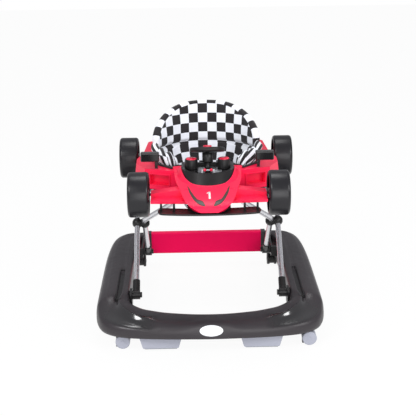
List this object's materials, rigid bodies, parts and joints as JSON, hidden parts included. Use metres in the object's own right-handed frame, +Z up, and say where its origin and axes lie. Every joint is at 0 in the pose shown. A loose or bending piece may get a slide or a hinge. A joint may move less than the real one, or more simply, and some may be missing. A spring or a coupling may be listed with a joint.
{
  "type": "baby walker",
  "caption": "Racing-car baby walker: horseshoe base on twin-disc casters, crossed folding legs, red car-shaped play tray with toy wheels and a chequered fabric seat.",
  "frame": {"origin": "on the floor, at the centre of the base's box in plan", "axes": "+X to the left hand of a seated child, the walker's front faces -Y, +Z up"},
  "size_m": [0.646, 0.714, 0.59],
  "materials": {
    "base_black": "satin moulded",
    "black_plastic": "satin moulded",
    "dark_gloss": "gloss",
    "white_badge": "gloss",
    "red_bar": "gloss",
    "red_plastic": "semi-gloss moulded",
    "red_trim": "gloss",
    "grey_plastic": "satin",
    "grip_rubber": "matt",
    "steel": "bright",
    "tube_silver": "satin silver",
    "tyre_black": "soft gloss",
    "silver_grille": "satin",
    "clear_post": "gloss",
    "seat_cloth": "black and white chequered cloth",
    "piping_cloth": "black bound edge"
  },
  "bodies": {
    "base": {"base_shell": "base_black", "slot_liners": "dark_gloss", "badge_plate": "white_badge", "rear_crossbar": "red_bar", "crossbar_sockets": "base_black", "brake_pads": "grey_plastic", "brake_strips": "grip_rubber", "front_leg_hinges": "black_plastic", "rear_rails": "black_plastic", "base_screws": "steel"},
    "front_legs": {"front_leg_tubes": "tube_silver", "front_leg_feet": "black_plastic", "front_leg_eyes": "black_plastic", "front_leg_hubs": "black_plastic", "pivot_bolts": "steel"},
    "rear_legs": {"rear_leg_tubes": "tube_silver", "rear_leg_feet": "black_plastic", "rear_leg_eyes": "black_plastic", "rear_leg_hubs": "black_plastic"},
    "rear_slider": {"rear_sliders": "black_plastic"},
    "top_slider": {"top_sliders": "black_plastic"},
    "tray": {"car_body": "red_plastic", "tray_underpan": "black_plastic", "tray_hinges": "black_plastic", "tray_rails": "black_plastic", "front_wing": "black_plastic", "mirrors": "dark_gloss", "console_cowl": "black_plastic", "dash_panel": "dark_gloss", "speaker": "black_plastic", "sound_grille": "silver_grille", "battery_box": "black_plastic", "battery_cells": "steel", "battery_door": "black_plastic", "steering_column": "black_plastic", "bead_wire": "clear_post", "wheel_axles": "black_plastic", "seat_piping": "piping_cloth", "seat_sling": "seat_cloth", "seat_back": "seat_cloth"},
    "steering": {"steering_wheel": "black_plastic"},
    "horn": {"horn_button": "red_trim"},
    "knob_left": {"knob_left": "black_plastic", "knob_cap_left": "red_trim"},
    "knob_right": {"knob_right": "black_plastic", "knob_cap_right": "red_trim"},
    "bead_left": {"bead_left": "red_trim"},
    "bead_right": {"bead_right": "red_trim"},
    "swivel_front_left": {"caster_housing_front_left": "black_plastic"},
    "caster_front_left": {"caster_wheels_front_left": "grey_plastic"},
    "swivel_front_right": {"caster_housing_front_right": "black_plastic"},
    "caster_front_right": {"caster_wheels_front_right": "grey_plastic"},
    "swivel_rear_left": {"caster_housing_rear_left": "black_plastic"},
    "caster_rear_left": {"caster_wheels_rear_left": "grey_plastic"},
    "swivel_rear_right": {"caster_housing_rear_right": "black_plastic"},
    "caster_rear_right": {"caster_wheels_rear_right": "grey_plastic"},
    "toy_front_left": {"toy_wheel_front_left": "tyre_black"},
    "toy_front_right": {"toy_wheel_front_right": "tyre_black"},
    "toy_rear_left": {"toy_wheel_rear_left": "tyre_black"},
    "toy_rear_right": {"toy_wheel_rear_right": "tyre_black"}
  },
  "joints": [
    {"name": "frame_fold", "type": "hinge", "parent": "base", "child": "front_legs", "pos_m": [0, -0.16, 0.096], "axis": [-1, 0, 0], "range_deg": [0, 22]},
    {"name": "leg_cross", "type": "hinge", "parent": "front_legs", "child": "rear_legs", "pos_m": [0, 0.02113, 0.25345], "axis": [-1, 0, 0], "range_deg": [-44, 0]},
    {"name": "tray_tilt", "type": "hinge", "parent": "rear_legs", "child": "tray", "pos_m": [0, -0.12, 0.37614], "axis": [-1, 0, 0], "range_deg": [0, 22]},
    {"name": "rear_slider_pivot", "type": "hinge", "parent": "rear_legs", "child": "rear_slider", "pos_m": [0, 0.20226, 0.096], "axis": [-1, 0, 0], "range_deg": [0, 22]},
    {"name": "top_slider_pivot", "type": "hinge", "parent": "front_legs", "child": "top_slider", "pos_m": [0, 0.16226, 0.37614], "axis": [-1, 0, 0], "range_deg": [-22, 0]},
    {"name": "swivel_front_left", "type": "hinge", "parent": "base", "child": "swivel_front_left", "pos_m": [0.258, -0.3, 0.06], "axis": [0, 0, 1], "continuous": true},
    {"name": "roll_front_left", "type": "hinge", "parent": "swivel_front_left", "child": "caster_front_left", "pos_m": [0.272, -0.3, 0.02], "axis": [0, 1, 0], "continuous": true},
    {"name": "swivel_front_right", "type": "hinge", "parent": "base", "child": "swivel_front_right", "pos_m": [-0.258, -0.3, 0.06], "axis": [0, 0, 1], "continuous": true},
    {"name": "roll_front_right", "type": "hinge", "parent": "swivel_front_right", "child": "caster_front_right", "pos_m": [-0.244, -0.3, 0.02], "axis": [0, 1, 0], "continuous": true},
    {"name": "swivel_rear_left", "type": "hinge", "parent": "base", "child": "swivel_rear_left", "pos_m": [0.219, 0.335, 0.06], "axis": [0, 0, 1], "continuous": true},
    {"name": "roll_rear_left", "type": "hinge", "parent": "swivel_rear_left", "child": "caster_rear_left", "pos_m": [0.219, 0.321, 0.02], "axis": [1, 0, 0], "continuous": true},
    {"name": "swivel_rear_right", "type": "hinge", "parent": "base", "child": "swivel_rear_right", "pos_m": [-0.219, 0.335, 0.06], "axis": [0, 0, 1], "continuous": true},
    {"name": "roll_rear_right", "type": "hinge", "parent": "swivel_rear_right", "child": "caster_rear_right", "pos_m": [-0.219, 0.321, 0.02], "axis": [1, 0, 0], "continuous": true},
    {"name": "spin_front_left", "type": "hinge", "parent": "tray", "child": "toy_front_left", "pos_m": [0.192, -0.207, 0.411], "axis": [1, 0, 0], "continuous": true},
    {"name": "spin_front_right", "type": "hinge", "parent": "tray", "child": "toy_front_right", "pos_m": [-0.192, -0.207, 0.411], "axis": [1, 0, 0], "continuous": true},
    {"name": "spin_rear_left", "type": "hinge", "parent": "tray", "child": "toy_rear_left", "pos_m": [0.237, 0.193, 0.411], "axis": [1, 0, 0], "continuous": true},
    {"name": "spin_rear_right", "type": "hinge", "parent": "tray", "child": "toy_rear_right", "pos_m": [-0.237, 0.193, 0.411], "axis": [1, 0, 0], "continuous": true},
    {"name": "steer", "type": "hinge", "parent": "tray", "child": "steering", "pos_m": [0, -0.112, 0.455], "axis": [0, 0.2924, 0.9563], "range_deg": [-90, 90]},
    {"name": "horn_press", "type": "slide", "parent": "steering", "child": "horn", "axis": [0, -0.2924, -0.9563], "range_m": [0, 0.003], "stiffness_N_per_m": 300},
    {"name": "knob_turn_left", "type": "hinge", "parent": "tray", "child": "knob_left", "pos_m": [0.046, -0.104, 0.455], "axis": [0, 0, 1], "continuous": true},
    {"name": "knob_turn_right", "type": "hinge", "parent": "tray", "child": "knob_right", "pos_m": [-0.046, -0.104, 0.455], "axis": [0, 0, 1], "continuous": true},
    {"name": "bead_spin_left", "type": "hinge", "parent": "tray", "child": "bead_left", "pos_m": [0.009, -0.15, 0.462], "axis": [1, 0, 0], "continuous": true},
    {"name": "bead_spin_right", "type": "hinge", "parent": "tray", "child": "bead_right", "pos_m": [-0.009, -0.15, 0.462], "axis": [1, 0, 0], "continuous": true}
  ],
  "couplings": [
    {"joint": "leg_cross", "follows": "frame_fold", "ratio": -2},
    {"joint": "tray_tilt", "follows": "frame_fold", "ratio": 1},
    {"joint": "rear_slider_pivot", "follows": "frame_fold", "ratio": 1},
    {"joint": "top_slider_pivot", "follows": "frame_fold", "ratio": -1}
  ]
}
